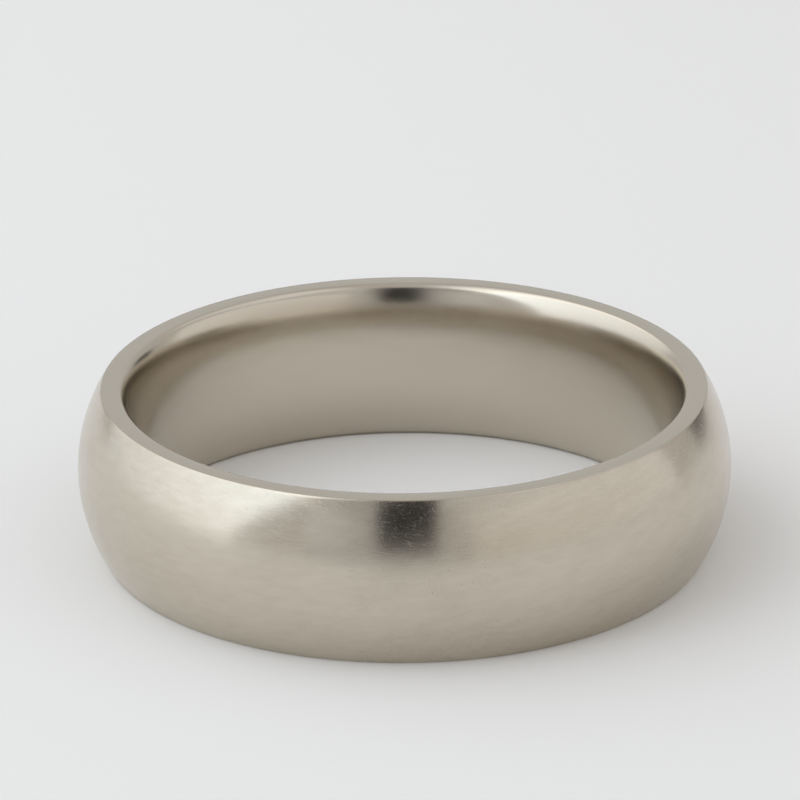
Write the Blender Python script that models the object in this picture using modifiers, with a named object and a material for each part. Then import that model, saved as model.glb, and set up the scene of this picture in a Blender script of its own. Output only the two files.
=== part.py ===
"""A plain half-round wedding band, turned from one piece of white gold.

The ring lies on its lower rim: +Z runs along the axis of the finger hole, and the
origin is the middle of the hole in the plane of the lower rim. Units are metres.
"""

import math

import bpy

MM = 0.001

# Driving dimensions
BAND_WIDTH = 6.0 * MM  # along the finger
CROWN_RADIUS = 11.6 * MM  # widest point of the domed outside, half-way up
DOME_EDGE_RADIUS = 10.72 * MM  # where the dome meets the flat rim
RIM_INNER_RADIUS = 10.15 * MM  # where the flat rim runs into the rounded lip of the finger hole
BORE_RADIUS = 9.6 * MM  # narrowest point of the finger hole, half-way up
BORE_CURVE = 3.0  # how late the comfort-fit curve opens out; 2 is an ellipse, more is straighter
LIP_CURVE = 2.0  # how round the lip is; 1 is a sharp corner, 2 is an ellipse

# How finely the curves are divided
ROUND_STEPS = 96  # a multiple of four, so that the crown reaches +X, +Y, -X and -Y
DOME_SEGMENTS = 16
BORE_SEGMENTS = 20

MERGE_DISTANCE = 0.000001
SMOOTH_LIMIT = math.radians(30)

HALF_WIDTH = BAND_WIDTH / 2


def dome_profile():
    """Points down the outside: one arc from the top rim over the crown to the bottom rim."""
    rise = CROWN_RADIUS - DOME_EDGE_RADIUS
    arc_radius = (HALF_WIDTH**2 + rise**2) / (2 * rise)
    arc_centre = CROWN_RADIUS - arc_radius
    edge_angle = math.asin(HALF_WIDTH / arc_radius)
    points = []
    for step in range(DOME_SEGMENTS + 1):
        angle = edge_angle * (1 - 2 * step / DOME_SEGMENTS)
        radius = arc_centre + arc_radius * math.cos(angle)
        height = HALF_WIDTH + arc_radius * math.sin(angle)
        points.append((radius, 0.0, height))
    return points


def bore_profile():
    """Points up the inside: a superellipse, upright in the middle and level at each rim."""
    opening = RIM_INNER_RADIUS - BORE_RADIUS
    points = []
    for step in range(BORE_SEGMENTS + 1):
        # The steps crowd towards the rims, where the curve turns most.
        along = -math.cos(math.pi * step / BORE_SEGMENTS)
        bulge = (1 - abs(along) ** BORE_CURVE) ** (1 / LIP_CURVE)
        radius = RIM_INNER_RADIUS - opening * bulge
        height = HALF_WIDTH * (1 + along)
        points.append((radius, 0.0, height))
    return points


def white_gold():
    """Unplated white gold: a warm grey metal with a satin-brushed finish."""
    material = bpy.data.materials.new("white_gold")
    material.use_nodes = True
    surface = material.node_tree.nodes["Principled BSDF"]
    surface.inputs["Base Color"].default_value = (0.62, 0.57, 0.50, 1.0)
    surface.inputs["Metallic"].default_value = 1.0
    surface.inputs["Roughness"].default_value = 0.35
    return material


def turned_ring(name, profile, collection):
    """Spin a closed profile, drawn in the XZ plane at +X, once round the Z axis."""
    mesh = bpy.data.meshes.new(name)
    count = len(profile)
    edges = [(index, (index + 1) % count) for index in range(count)]
    mesh.from_pydata(profile, edges, [])
    ring = bpy.data.objects.new(name, mesh)
    collection.objects.link(ring)

    screw = ring.modifiers.new("turn", "SCREW")
    screw.axis = "Z"
    screw.angle = 2 * math.pi
    screw.steps = ROUND_STEPS
    screw.render_steps = ROUND_STEPS
    screw.use_merge_vertices = True
    screw.merge_threshold = MERGE_DISTANCE
    bpy.context.view_layer.objects.active = ring
    bpy.ops.object.modifier_apply(modifier=screw.name)

    ring.data.shade_smooth()
    ring.data.set_sharp_from_angle(angle=SMOOTH_LIMIT)
    return ring


for leftover in list(bpy.data.objects):
    bpy.data.objects.remove(leftover, do_unlink=True)

parts = bpy.data.collections.new("wedding_band")
bpy.context.scene.collection.children.link(parts)

band = turned_ring("band", dome_profile() + bore_profile(), parts)
band.data.materials.append(white_gold())
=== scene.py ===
"""A satin-finished half-round wedding band on a pale table, lit by a large cloth on its left."""
import math

import bmesh
import bpy
from mathutils import Euler, Matrix, Vector


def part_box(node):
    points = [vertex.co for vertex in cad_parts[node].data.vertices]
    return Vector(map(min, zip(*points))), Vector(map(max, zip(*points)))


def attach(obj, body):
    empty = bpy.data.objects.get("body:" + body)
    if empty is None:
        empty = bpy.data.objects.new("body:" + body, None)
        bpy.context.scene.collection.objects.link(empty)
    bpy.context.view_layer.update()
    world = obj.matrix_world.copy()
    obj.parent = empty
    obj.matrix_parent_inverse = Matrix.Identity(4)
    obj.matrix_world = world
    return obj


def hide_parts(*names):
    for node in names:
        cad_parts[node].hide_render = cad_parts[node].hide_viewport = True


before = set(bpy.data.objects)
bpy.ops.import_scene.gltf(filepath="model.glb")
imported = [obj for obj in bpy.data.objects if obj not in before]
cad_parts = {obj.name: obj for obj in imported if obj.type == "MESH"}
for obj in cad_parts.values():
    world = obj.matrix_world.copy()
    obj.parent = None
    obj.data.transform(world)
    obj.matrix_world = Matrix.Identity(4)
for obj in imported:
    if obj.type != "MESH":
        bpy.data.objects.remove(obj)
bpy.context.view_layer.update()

# ---------------------------------------------------------------------------
# The band: one piece of white gold, turned and then satin brushed by hand. The crown is an
# arc, each rim is a narrow flat land, and the finger hole is a comfort fit that opens out
# towards the rims and runs into them in a rounded lip. The hole is polished, not brushed.
# ---------------------------------------------------------------------------
MM = 0.001
band_low, band_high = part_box("band")
WIDTH = band_high.z - band_low.z
HALF_WIDTH = WIDTH / 2
CROWN_RADIUS = (band_high.x - band_low.x) / 2
DOME_EDGE_RADIUS = 10.72 * MM
RIM_INNER_RADIUS = 10.15 * MM
BORE_RADIUS = 9.6 * MM
BORE_CURVE = 3.0
LIP_CURVE = 2.0

DOME_SEGMENTS = 64
BORE_SEGMENTS = 56
ROUND_STEPS = 480
CORNER_ROUNDING = 0.035 * MM
CORNER_SEGMENTS = 3
CORNER_HOLD = 0.08 * MM
CORNER_LEAST_ANGLE = math.radians(30)
ROUND_PROFILE = 0.5
TINY = 1e-7
DOME_ARC_RADIUS = (HALF_WIDTH**2 + (CROWN_RADIUS - DOME_EDGE_RADIUS) ** 2) / (
    2 * (CROWN_RADIUS - DOME_EDGE_RADIUS)
)


def make_object(name, shape):
    """Turns a shape into an object in the scene."""
    mesh = bpy.data.meshes.new(name)
    shape.to_mesh(mesh)
    shape.free()
    made = bpy.data.objects.new(name, mesh)
    bpy.context.scene.collection.objects.link(made)
    return made


def dome_arc(profile):
    """Sweeps one vertex over the crown, from the upper rim's outer corner to the lower one."""
    corner = profile.verts.new((DOME_EDGE_RADIUS, 0, WIDTH))
    swept = bmesh.ops.spin(
        profile,
        geom=[corner],
        cent=(CROWN_RADIUS - DOME_ARC_RADIUS, 0, HALF_WIDTH),
        axis=(0, 1, 0),
        angle=2 * math.asin(HALF_WIDTH / DOME_ARC_RADIUS),
        steps=DOME_SEGMENTS,
        use_duplicate=False,
    )
    last = [item for item in swept["geom_last"] if isinstance(item, bmesh.types.BMVert)][0]
    return corner, last


def bore_curve(profile, lower_corner, upper_corner):
    """Joins the rims through the finger hole: a superellipse, level at each rim, upright between."""
    previous = lower_corner
    for step in range(BORE_SEGMENTS + 1):
        along = -math.cos(math.pi * step / BORE_SEGMENTS)
        bulge = (1 - abs(along) ** BORE_CURVE) ** (1 / LIP_CURVE)
        radius = RIM_INNER_RADIUS - (RIM_INNER_RADIUS - BORE_RADIUS) * bulge
        vertex = profile.verts.new((radius, 0, HALF_WIDTH * (1 + along)))
        profile.edges.new((previous, vertex))
        previous = vertex
    profile.edges.new((previous, upper_corner))


ring = bmesh.new()
upper_corner, lower_corner = dome_arc(ring)
bore_curve(ring, lower_corner, upper_corner)
for height in (CORNER_HOLD, WIDTH - CORNER_HOLD):
    bmesh.ops.bisect_plane(
        ring,
        geom=ring.verts[:] + ring.edges[:],
        dist=TINY,
        plane_co=(0, 0, height),
        plane_no=(0, 0, 1),
    )
bmesh.ops.spin(
    ring,
    geom=ring.verts[:] + ring.edges[:],
    cent=(0, 0, 0),
    axis=(0, 0, 1),
    angle=2 * math.pi,
    steps=ROUND_STEPS,
    use_merge=True,
    use_duplicate=False,
)
bmesh.ops.remove_doubles(ring, verts=ring.verts[:], dist=TINY)
bmesh.ops.recalc_face_normals(ring, faces=ring.faces[:])
rim_corners = [edge for edge in ring.edges if edge.calc_face_angle(0) > CORNER_LEAST_ANGLE]
bmesh.ops.bevel(
    ring,
    geom=rim_corners,
    offset=CORNER_ROUNDING,
    segments=CORNER_SEGMENTS,
    affect="EDGES",
    profile=ROUND_PROFILE,
    material=-1,
)

# The unwrapped skin in millimetres: round the band, and down the face. The dome's seam is at
# the back and the bore's at the front.
DOME_FINISH, RIM_FINISH, BORE_FINISH = range(3)
wrap = ring.loops.layers.uv.new("wrap")
for face in ring.faces:
    middle = face.calc_center_median()
    across = middle.xy.length
    if across > DOME_EDGE_RADIUS - CORNER_ROUNDING / 2:
        face.material_index = DOME_FINISH
    elif across > RIM_INNER_RADIUS:
        face.material_index = RIM_FINISH
    else:
        face.material_index = BORE_FINISH
    face.smooth = True
    seam_side = -1 if face.material_index == BORE_FINISH else 1
    middle_angle = math.atan2(middle.x, -seam_side * middle.y)
    for loop in face.loops:
        place = loop.vert.co
        angle = math.atan2(place.x, -seam_side * place.y)
        if abs(angle - middle_angle) > math.pi:
            angle -= math.copysign(2 * math.pi, angle)
        lift = place.z - HALF_WIDTH
        if face.material_index == DOME_FINISH:
            down = DOME_ARC_RADIUS * math.asin(lift / DOME_ARC_RADIUS)
        elif face.material_index == RIM_FINISH:
            down = place.xy.length
        else:
            down = lift
        loop[wrap].uv = (angle * CROWN_RADIUS / MM, down / MM)

band_metal = make_object("band_metal", ring)


class Wiring:
    """Adds nodes to one node tree; a node's inputs are given as numbers, colours or sockets."""

    def __init__(self, tree):
        self.tree = tree

    def add(self, kind, *values, **settings):
        node = self.tree.nodes.new("ShaderNode" + kind)
        for name, setting in settings.items():
            setattr(node, name, setting)
        for socket, value in zip(node.inputs, values):
            self.feed(socket, value)
        return node

    def feed(self, socket, value):
        if isinstance(value, bpy.types.NodeSocket):
            self.tree.links.new(value, socket)
        elif value is not None:
            socket.default_value = value

    def math(self, operation, *values):
        return self.add("Math", *values, operation=operation).outputs[0]

    def stretch(self, vector, scale):
        return self.add("VectorMath", vector, scale, operation="MULTIPLY").outputs[0]

    def ramp(self, value, low, high, to_low=0.0, to_high=1.0):
        return self.add("MapRange", value, low, high, to_low, to_high).outputs[0]

    def group(self, group, **values):
        """Puts a node group in the tree and returns its only output."""
        node = self.add("Group", node_tree=group)
        for name, value in values.items():
            self.feed(node.inputs[name], value)
        return node.outputs[0]

    def noise(self, place, **values):
        """A noise at a place, one cell per unit unless Scale says otherwise."""
        node = self.add("TexNoise", noise_dimensions="3D")
        self.feed(node.inputs["Vector"], place)
        for name, value in {"Scale": 1.0, **values}.items():
            self.feed(node.inputs[name], value)
        return node.outputs[0]

    def strokes(self, given):
        """Places along and over the strokes, in stroke lengths and stroke widths."""
        turned = self.add("VectorRotate", given.outputs["Place"], rotation_type="Z_AXIS")
        self.feed(turned.inputs["Angle"], given.outputs["Turn"])
        sides = self.add("SeparateXYZ", turned.outputs[0])
        along = self.math("DIVIDE", sides.outputs["X"], given.outputs["Length"])
        over = self.math("DIVIDE", sides.outputs["Y"], given.outputs["Width"])
        return along, over

    def place(self, *sides):
        return self.add("CombineXYZ", *sides).outputs[0]

    def relief(self, shader, height, depth):
        """Presses a height into a shader's normal."""
        bump = self.add("Bump")
        self.feed(bump.inputs["Strength"], 1.0)
        self.feed(bump.inputs["Distance"], depth)
        self.feed(bump.inputs["Height"], height)
        self.feed(shader.inputs["Normal"], bump.outputs[0])


def new_group(name, inputs, output):
    """A shader node group with a Place, number inputs with their usual values, and one output."""
    group = bpy.data.node_groups.new(name, "ShaderNodeTree")
    group.interface.new_socket("Place", in_out="INPUT", socket_type="NodeSocketVector")
    for label, usual in inputs.items():
        socket = group.interface.new_socket(label, in_out="INPUT", socket_type="NodeSocketFloat")
        socket.default_value = usual
    group.interface.new_socket(output, in_out="OUTPUT", socket_type="NodeSocketFloat")
    given = group.nodes.new("NodeGroupInput")
    made = group.nodes.new("NodeGroupOutput")
    return group, Wiring(group), given, made.inputs[output]


# Brush strokes: a grain that is long one way and fine the other, with Turn as its slant.
brush_grain, wire, given, height_out = new_group(
    "brush_grain", {"Turn": 0, "Length": 1, "Width": 0.1, "Seed": 0}, "Height"
)
along, over = wire.strokes(given)
grain = wire.noise(wire.place(along, over, given.outputs["Seed"]), Detail=1.0, Roughness=0.5)
wire.feed(height_out, grain)

# Hairline scratches: thin lines that follow the level lines of a stretched noise, broken into
# short pieces by a second one. Coverage runs from 0, few, to 1, most of the lines.
LINE_LEVEL = 0.5
LINE_HALF_BREADTH = 0.035
BREAK_SCALE = 1.7
BREAK_SEED = 17.0
BARE_LEVELS = (0.7, 0.3)
hairlines, wire, given, mask_out = new_group(
    "hairlines",
    {"Turn": 0, "Length": 1, "Width": 0.3, "Coverage": 0.5, "Curl": 0.2, "Seed": 0},
    "Mask",
)
along, over = wire.strokes(given)
seed = given.outputs["Seed"]
levels = wire.noise(wire.place(along, over, seed), Detail=0.0, Distortion=given.outputs["Curl"])
off_line = wire.math("ABSOLUTE", wire.math("SUBTRACT", levels, LINE_LEVEL))
line = wire.ramp(off_line, LINE_HALF_BREADTH, 0.0)
breaks_place = wire.place(along, over, wire.math("ADD", seed, BREAK_SEED))
breaks = wire.noise(breaks_place, Scale=BREAK_SCALE, Detail=0.0)
bare = wire.ramp(given.outputs["Coverage"], 0.0, 1.0, *BARE_LEVELS)
kept = wire.math("GREATER_THAN", breaks, bare)
wire.feed(mask_out, wire.math("MULTIPLY", line, kept))


TO_MM = (1 / MM,) * 3
QUARTER_TURN = 0.25
WHITE_GOLD = (0.622, 0.567, 0.480, 1)
WHITE_GOLD_DULL = (0.572, 0.518, 0.431, 1)
WHITE_GOLD_RIM = (0.622, 0.574, 0.484, 1)


def new_material(name):
    """A material with one plain shader in it; returns the material and the shader."""
    material = bpy.data.materials.new(name)
    material.use_nodes = True
    return material, material.node_tree.nodes["Principled BSDF"]


def metal(name, base, roughness, anisotropic):
    """White gold with one finish, added to the band; returns its shader and its tree's wiring."""
    material, shader = new_material(name)
    shader.inputs["Base Color"].default_value = base
    shader.inputs["Metallic"].default_value = 1.0
    shader.inputs["Roughness"].default_value = roughness
    shader.inputs["Anisotropic"].default_value = anisotropic
    shader.inputs["Anisotropic Rotation"].default_value = QUARTER_TURN
    band_metal.data.materials.append(material)
    return shader, Wiring(material.node_tree)


# The dome's satin. Each layer of strokes has a slant in degrees, a length and a width in
# millimetres, a seed, and a share of the relief. Below them run long strokes round the band.
SATIN_STROKES = (
    (14, 0.55, 0.07, 3.0, 0.5),
    (-22, 0.5, 0.075, 8.0, 0.45),
    (64, 0.6, 0.09, 5.0, 0.25),
)
LONG_STROKE_CELLS = (1.3, 1.3, 13.0)
PATCH_CELLS = (0.28, 0.28, 0.6)
PATCH_RANGE = (0.35, 0.65)
STROKE_DEPTH = 0.0008 * MM
NEAR_RIM = (0.60 * HALF_WIDTH, 0.97 * HALF_WIDTH)
OFF_MIDDLE = (0.2 * HALF_WIDTH, 0.9 * HALF_WIDTH)
FLAT_HAIR_COVER = (0.2, 0.5)
STEEP_HAIR_COVER = (-0.2, 0.65)
FLAT_HAIR_DEPTH = 0.22
STEEP_HAIR_DEPTH = 0.34
SATIN_ROUGHNESS = 0.185
PATCH_ROUGHNESS = 0.05
SCRATCH_ROUGHNESS = 0.08
STROKE_DULLING = 0.9
SMEAR_DULLING = 1.6
PATCH_DULLING = 0.5
BRIGHT_SHARE = 1.0
MIX_FIRST, MIX_SECOND, MIX_RESULT = 6, 7, 2

shader, wire = metal("white_gold_satin", WHITE_GOLD, roughness=0.21, anisotropic=0.76)
skin = wire.add("UVMap", uv_map="wrap").outputs[0]
solid = wire.add("TexCoord").outputs["Object"]
solid_mm = wire.stretch(solid, TO_MM)
patch = wire.ramp(wire.noise(wire.stretch(solid_mm, PATCH_CELLS), Detail=2.0), *PATCH_RANGE)

height = wire.noise(wire.stretch(solid_mm, LONG_STROKE_CELLS), Detail=1.0)
stroke_layers = []
for slant, length, breadth, seed, share in SATIN_STROKES:
    layer = wire.group(
        brush_grain, Place=skin, Turn=math.radians(slant), Length=length, Width=breadth, Seed=seed
    )
    height = wire.math("MULTIPLY_ADD", layer, share, height)
    stroke_layers.append(layer)

# Fine scratches lie over the strokes: flat ones everywhere, and steep curled ones by the rims.
lift = wire.add("SeparateXYZ", solid).outputs["Z"]
edge_distance = wire.math("ABSOLUTE", wire.math("SUBTRACT", lift, HALF_WIDTH))
near_rim = wire.ramp(edge_distance, *NEAR_RIM)
hairs_flat = wire.group(
    hairlines,
    Place=skin,
    Turn=math.radians(5),
    Length=0.9,
    Width=0.11,
    Coverage=wire.ramp(edge_distance, *OFF_MIDDLE, *FLAT_HAIR_COVER),
    Curl=0.1,
    Seed=2.0,
)
hairs_steep = wire.group(
    hairlines,
    Place=skin,
    Turn=math.radians(68),
    Length=0.30,
    Width=0.10,
    Coverage=wire.ramp(near_rim, 0.0, 1.0, *STEEP_HAIR_COVER),
    Curl=0.5,
    Seed=11.0,
)
height = wire.math("MULTIPLY_ADD", hairs_flat, -FLAT_HAIR_DEPTH, height)
height = wire.math("MULTIPLY_ADD", hairs_steep, -STEEP_HAIR_DEPTH, height)
wire.relief(shader, height, STROKE_DEPTH)
scratched = wire.math("MAXIMUM", hairs_flat, hairs_steep)
rough = wire.math("MULTIPLY_ADD", patch, PATCH_ROUGHNESS, SATIN_ROUGHNESS)
rough = wire.math("MULTIPLY_ADD", scratched, SCRATCH_ROUGHNESS, rough)
wire.feed(shader.inputs["Roughness"], rough)

# Broad faint smears, and the strokes themselves, shift the gold between its bright and dull tone.
smear = wire.group(
    brush_grain, Place=skin, Turn=math.radians(-9), Length=0.9, Width=0.28, Seed=6.0
)
dulling = wire.math("MULTIPLY", stroke_layers[0], STROKE_DULLING)
dulling = wire.math("MULTIPLY_ADD", smear, SMEAR_DULLING, dulling)
dulling = wire.math("SUBTRACT", dulling, BRIGHT_SHARE)
dulling = wire.math("MULTIPLY_ADD", patch, PATCH_DULLING, dulling)
tone = wire.add("Mix", data_type="RGBA")
wire.feed(tone.inputs["Factor"], dulling)
wire.feed(tone.inputs[MIX_FIRST], WHITE_GOLD)
wire.feed(tone.inputs[MIX_SECOND], WHITE_GOLD_DULL)
wire.feed(shader.inputs["Base Color"], tone.outputs[MIX_RESULT])

# The rims: fine turning marks round the flat, and a few short scratches.
RIM_HAIR_DEPTH = 0.5
RIM_ROUGHNESS = 0.13
TURNING_ROUGHNESS = 0.1
shader, wire = metal("white_gold_rim", WHITE_GOLD_RIM, roughness=0.17, anisotropic=0.4)
skin = wire.add("UVMap", uv_map="wrap").outputs[0]
turning = wire.group(brush_grain, Place=skin, Length=1.6, Width=0.03, Seed=4.0)
hairs = wire.group(
    hairlines,
    Place=skin,
    Turn=math.radians(20),
    Length=0.5,
    Width=0.12,
    Coverage=0.35,
    Seed=7.0,
)
wire.relief(shader, wire.math("MULTIPLY_ADD", hairs, -RIM_HAIR_DEPTH, turning), STROKE_DEPTH)
rough = wire.math("MULTIPLY_ADD", turning, TURNING_ROUGHNESS, RIM_ROUGHNESS)
wire.feed(shader.inputs["Roughness"], rough)

# The finger hole: a smoother polish with slight waves in it.
WAVE_CELLS = (0.5, 0.5, 2.2)
WAVE_DEPTH = 0.0022 * MM
WAVE_RANGE = (0.3, 0.7)
BORE_ROUGHNESS = (0.18, 0.24)
shader, wire = metal("white_gold_bore", WHITE_GOLD, roughness=0.15, anisotropic=0.0)
solid_mm = wire.stretch(wire.add("TexCoord").outputs["Object"], TO_MM)
waves = wire.noise(wire.stretch(solid_mm, WAVE_CELLS), Detail=2.0)
wire.relief(shader, waves, WAVE_DEPTH)
wire.feed(shader.inputs["Roughness"], wire.ramp(waves, *WAVE_RANGE, *BORE_ROUGHNESS))

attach(band_metal, "root")
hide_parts("band")

# ---------------------------------------------------------------------------
# The table: a wide matt white sheet, flat and plain.
# ---------------------------------------------------------------------------
TABLE_RADIUS = 1.4
TABLE_SIDES = 128
TABLE_WHITE = (0.922, 0.916, 0.910, 1)
table_shape = bmesh.new()
bmesh.ops.create_circle(table_shape, cap_ends=True, segments=TABLE_SIDES, radius=TABLE_RADIUS)
table_top = make_object("table_top", table_shape)
table_paint, paint = new_material("table_paint")
paint.inputs["Base Color"].default_value = TABLE_WHITE
paint.inputs["Roughness"].default_value = 0.9
paint.inputs["Specular IOR Level"].default_value = 0.1
table_top.data.materials.append(table_paint)

# ---------------------------------------------------------------------------
# The light: a dim even room, a large cloth lit from behind that leans over the ring from its
# left, pale cards at the right and the back, and dark things between them. None of it is seen
# directly: it lights the table and is mirrored in the metal.
# ---------------------------------------------------------------------------
ROOM = (0.575, 0.564, 0.549)
world = bpy.data.worlds.new("room")
bpy.context.scene.world = world
world.use_nodes = True
backdrop = world.node_tree.nodes["Background"]
backdrop.inputs["Color"].default_value = (*ROOM, 1)
backdrop.inputs["Strength"].default_value = 1.0

glow_light, plain_shader = new_material("glow_light")
glow_light.node_tree.nodes.remove(plain_shader)
wire = Wiring(glow_light.node_tree)
lamp = wire.add("Emission", wire.add("Attribute", attribute_name="glow").outputs["Color"], 1.0)
wire.feed(glow_light.node_tree.nodes["Material Output"].inputs["Surface"], lamp.outputs[0])

PANEL_CELLS = 6
HALF_SHEET = 0.5
PANEL_LIFT = 1.0 * MM


def towards(azimuth, elevation, distance):
    """A place as seen from the ring. Azimuth is 0 towards the camera, positive to its right."""
    turn = math.radians(azimuth)
    lift = distance * math.tan(math.radians(elevation))
    return Vector((math.sin(turn) * distance, -math.cos(turn) * distance, lift + PANEL_LIFT))


def blend(low_left, low_right, high_left, high_right, across, up):
    """Mixes four corner values over a sheet."""
    low = low_left.lerp(low_right, across)
    return low.lerp(high_left.lerp(high_right, across), up)


def panel(name, corners, glows):
    """A four-cornered sheet. Corners and glows go low left, low right, high left, high right."""
    shape = bmesh.new()
    bmesh.ops.create_grid(
        shape, x_segments=PANEL_CELLS, y_segments=PANEL_CELLS, size=HALF_SHEET
    )
    glow = shape.verts.layers.float_color.new("glow")
    for vertex in shape.verts:
        across = vertex.co.x + HALF_SHEET
        up = vertex.co.y + HALF_SHEET
        vertex[glow] = (*blend(*(Vector(colour) for colour in glows), across, up), 1)
        vertex.co = blend(*corners, across, up)
    sheet = make_object(name, shape)
    sheet.data.materials.append(glow_light)
    sheet.visible_camera = False


def upright(name, azimuth_left, azimuth_right, low, high, distance, glows):
    """A panel that stands between two directions and two elevations."""
    azimuths = (azimuth_left, azimuth_right)
    corners = [towards(azimuth, lift, distance) for lift in (low, high) for azimuth in azimuths]
    panel(name, corners, glows)


def grey(level, warmth=0.0):
    """A neutral glow, or a slightly warm one."""
    return (level * (1 + warmth), level, level * (1 - warmth))


# The scrim leans over from the left in two lengths. Overhead stays open, and level sheets hang
# at the right and on both sides of the camera.
SCRIM_AWAY = 0.34
SCRIM_LEAN = math.radians(46)
SCRIM_LENGTH = 0.42
SCRIM_JOIN = 0.27
SCRIM_NEAR = -0.188
SCRIM_FAR = 0.27
CEILING_HEIGHT = 0.34
CEILING_INNER = 0.10
CEILING_OUTER = 0.45
CEILING_FRONT = -0.46


def up_the_scrim(length, edge):
    """A place on the leaning cloth, at a length up from the table."""
    away = length * math.cos(SCRIM_LEAN) - SCRIM_AWAY
    return Vector((away, edge, length * math.sin(SCRIM_LEAN) + PANEL_LIFT))


def ceiling(x, y):
    """A place on a level sheet overhead."""
    return Vector((x, y, CEILING_HEIGHT))


for name, lengths, glows in (
    (
        "scrim_low",
        (0, SCRIM_JOIN),
        (grey(0.86, -0.05), grey(1.37, -0.02), grey(1.02, 0.04), grey(1.88, -0.10)),
    ),
    (
        "scrim_high",
        (SCRIM_JOIN, SCRIM_LENGTH),
        (grey(1.6), grey(2.1), grey(0.3), grey(0.8, -0.1)),
    ),
):
    edges = (SCRIM_FAR, SCRIM_NEAR)
    panel(name, [up_the_scrim(length, edge) for length in lengths for edge in edges], glows)

for name, side, ends, glows in (
    ("ceiling_right", 1, (SCRIM_FAR, SCRIM_NEAR), (grey(0.5), grey(1.05), grey(0.9), grey(0.9))),
    ("ceiling_near_right", 1, (SCRIM_NEAR, CEILING_FRONT), (grey(0.7),) * 4),
    ("ceiling_near_left", -1, (SCRIM_NEAR, CEILING_FRONT), (grey(0.4),) * 4),
):
    spans = (CEILING_INNER, CEILING_OUTER)
    panel(name, [ceiling(side * x, y) for x in spans for y in ends], glows)

# Upright cards: azimuths left and right, elevations low and high, distance, glows.
for card in (
    ("card_left", -36, -24, 4, 40, 0.50, (grey(0.69), grey(0.65)) * 2),
    ("card_left_end", -24, -9, 4, 40, 0.50, (grey(0.65), grey(0.42)) * 2),
    ("card_right", 23, 108, 0, 30, 0.45, (grey(0.58, 0.09), grey(0.93), grey(0.90), grey(0.85))),
    ("card_high", 28, 108, 30, 52, 0.50, (grey(0.4),) * 4),
    ("card_back", 150, 212, 8, 48, 0.55, (grey(0.62),) * 4),
    ("dark_front", -34, 30, 0, 4, 0.60, (grey(0.31),) * 4),
    ("stand_right", 126, 141, 0, 11, 0.30, (grey(0.05),) * 4),
):
    upright(*card)

# ---------------------------------------------------------------------------
# The camera, and its own dark body with a boom above it, seen only in the metal.
# ---------------------------------------------------------------------------
CAMERA_DISTANCE = 190.6 * MM
CAMERA_ELEVATION = math.radians(22.4)
CAMERA_ROLL = math.radians(-0.46)
FRAME_PIXELS = 800
FOCAL_PIXELS = 5354.5
SENSOR_MM = 36
AIM = Vector((-0.142 * MM, 0, 5.34 * MM))
camera_way = Vector((0, -math.cos(CAMERA_ELEVATION), math.sin(CAMERA_ELEVATION)))
camera_place = camera_way * CAMERA_DISTANCE
camera_place.z += HALF_WIDTH
camera_data = bpy.data.cameras.new("camera")
camera_data.sensor_width = SENSOR_MM
camera_data.lens = FOCAL_PIXELS / FRAME_PIXELS * SENSOR_MM
camera_data.clip_start = 0.01
camera_data.clip_end = 10
camera = bpy.data.objects.new("camera", camera_data)
bpy.context.scene.collection.objects.link(camera)
camera.location = camera_place
camera.rotation_mode = "QUATERNION"
camera_turn = (AIM - camera_place).to_track_quat("-Z", "Y")
camera_turn = camera_turn @ Euler((0, 0, CAMERA_ROLL)).to_quaternion()
camera.rotation_quaternion = camera_turn
bpy.context.scene.camera = camera

BODY_LEFT = 29 * MM
BODY_RIGHT = 36 * MM
BODY_BELOW = 56 * MM
BODY_ABOVE = 110 * MM
BODY_BLACK = (0.025, 0.025, 0.025, 1)
body_shape = bmesh.new()
bmesh.ops.create_grid(body_shape, x_segments=1, y_segments=1, size=HALF_SHEET)
body_size = (BODY_LEFT + BODY_RIGHT, BODY_BELOW + BODY_ABOVE, 1)
body_middle = ((BODY_RIGHT - BODY_LEFT) / 2, (BODY_ABOVE - BODY_BELOW) / 2, 0)
body_pose = Matrix.Translation(camera_place) @ camera_turn.to_matrix().to_4x4()
bmesh.ops.scale(body_shape, vec=body_size, verts=body_shape.verts)
bmesh.ops.translate(body_shape, vec=body_middle, verts=body_shape.verts)
bmesh.ops.transform(body_shape, matrix=body_pose, verts=body_shape.verts)
camera_body = make_object("camera_body", body_shape)
camera_body.visible_camera = False
camera_body.visible_diffuse = False
camera_body.visible_shadow = False
camera_black, cover = new_material("camera_black")
cover.inputs["Base Color"].default_value = BODY_BLACK
cover.inputs["Roughness"].default_value = 1.0
cover.inputs["Specular IOR Level"].default_value = 0.0
camera_body.data.materials.append(camera_black)

# ---------------------------------------------------------------------------
# The plain view.
# ---------------------------------------------------------------------------
bpy.context.scene.view_settings.view_transform = "Standard"
bpy.context.scene.view_settings.look = "None"
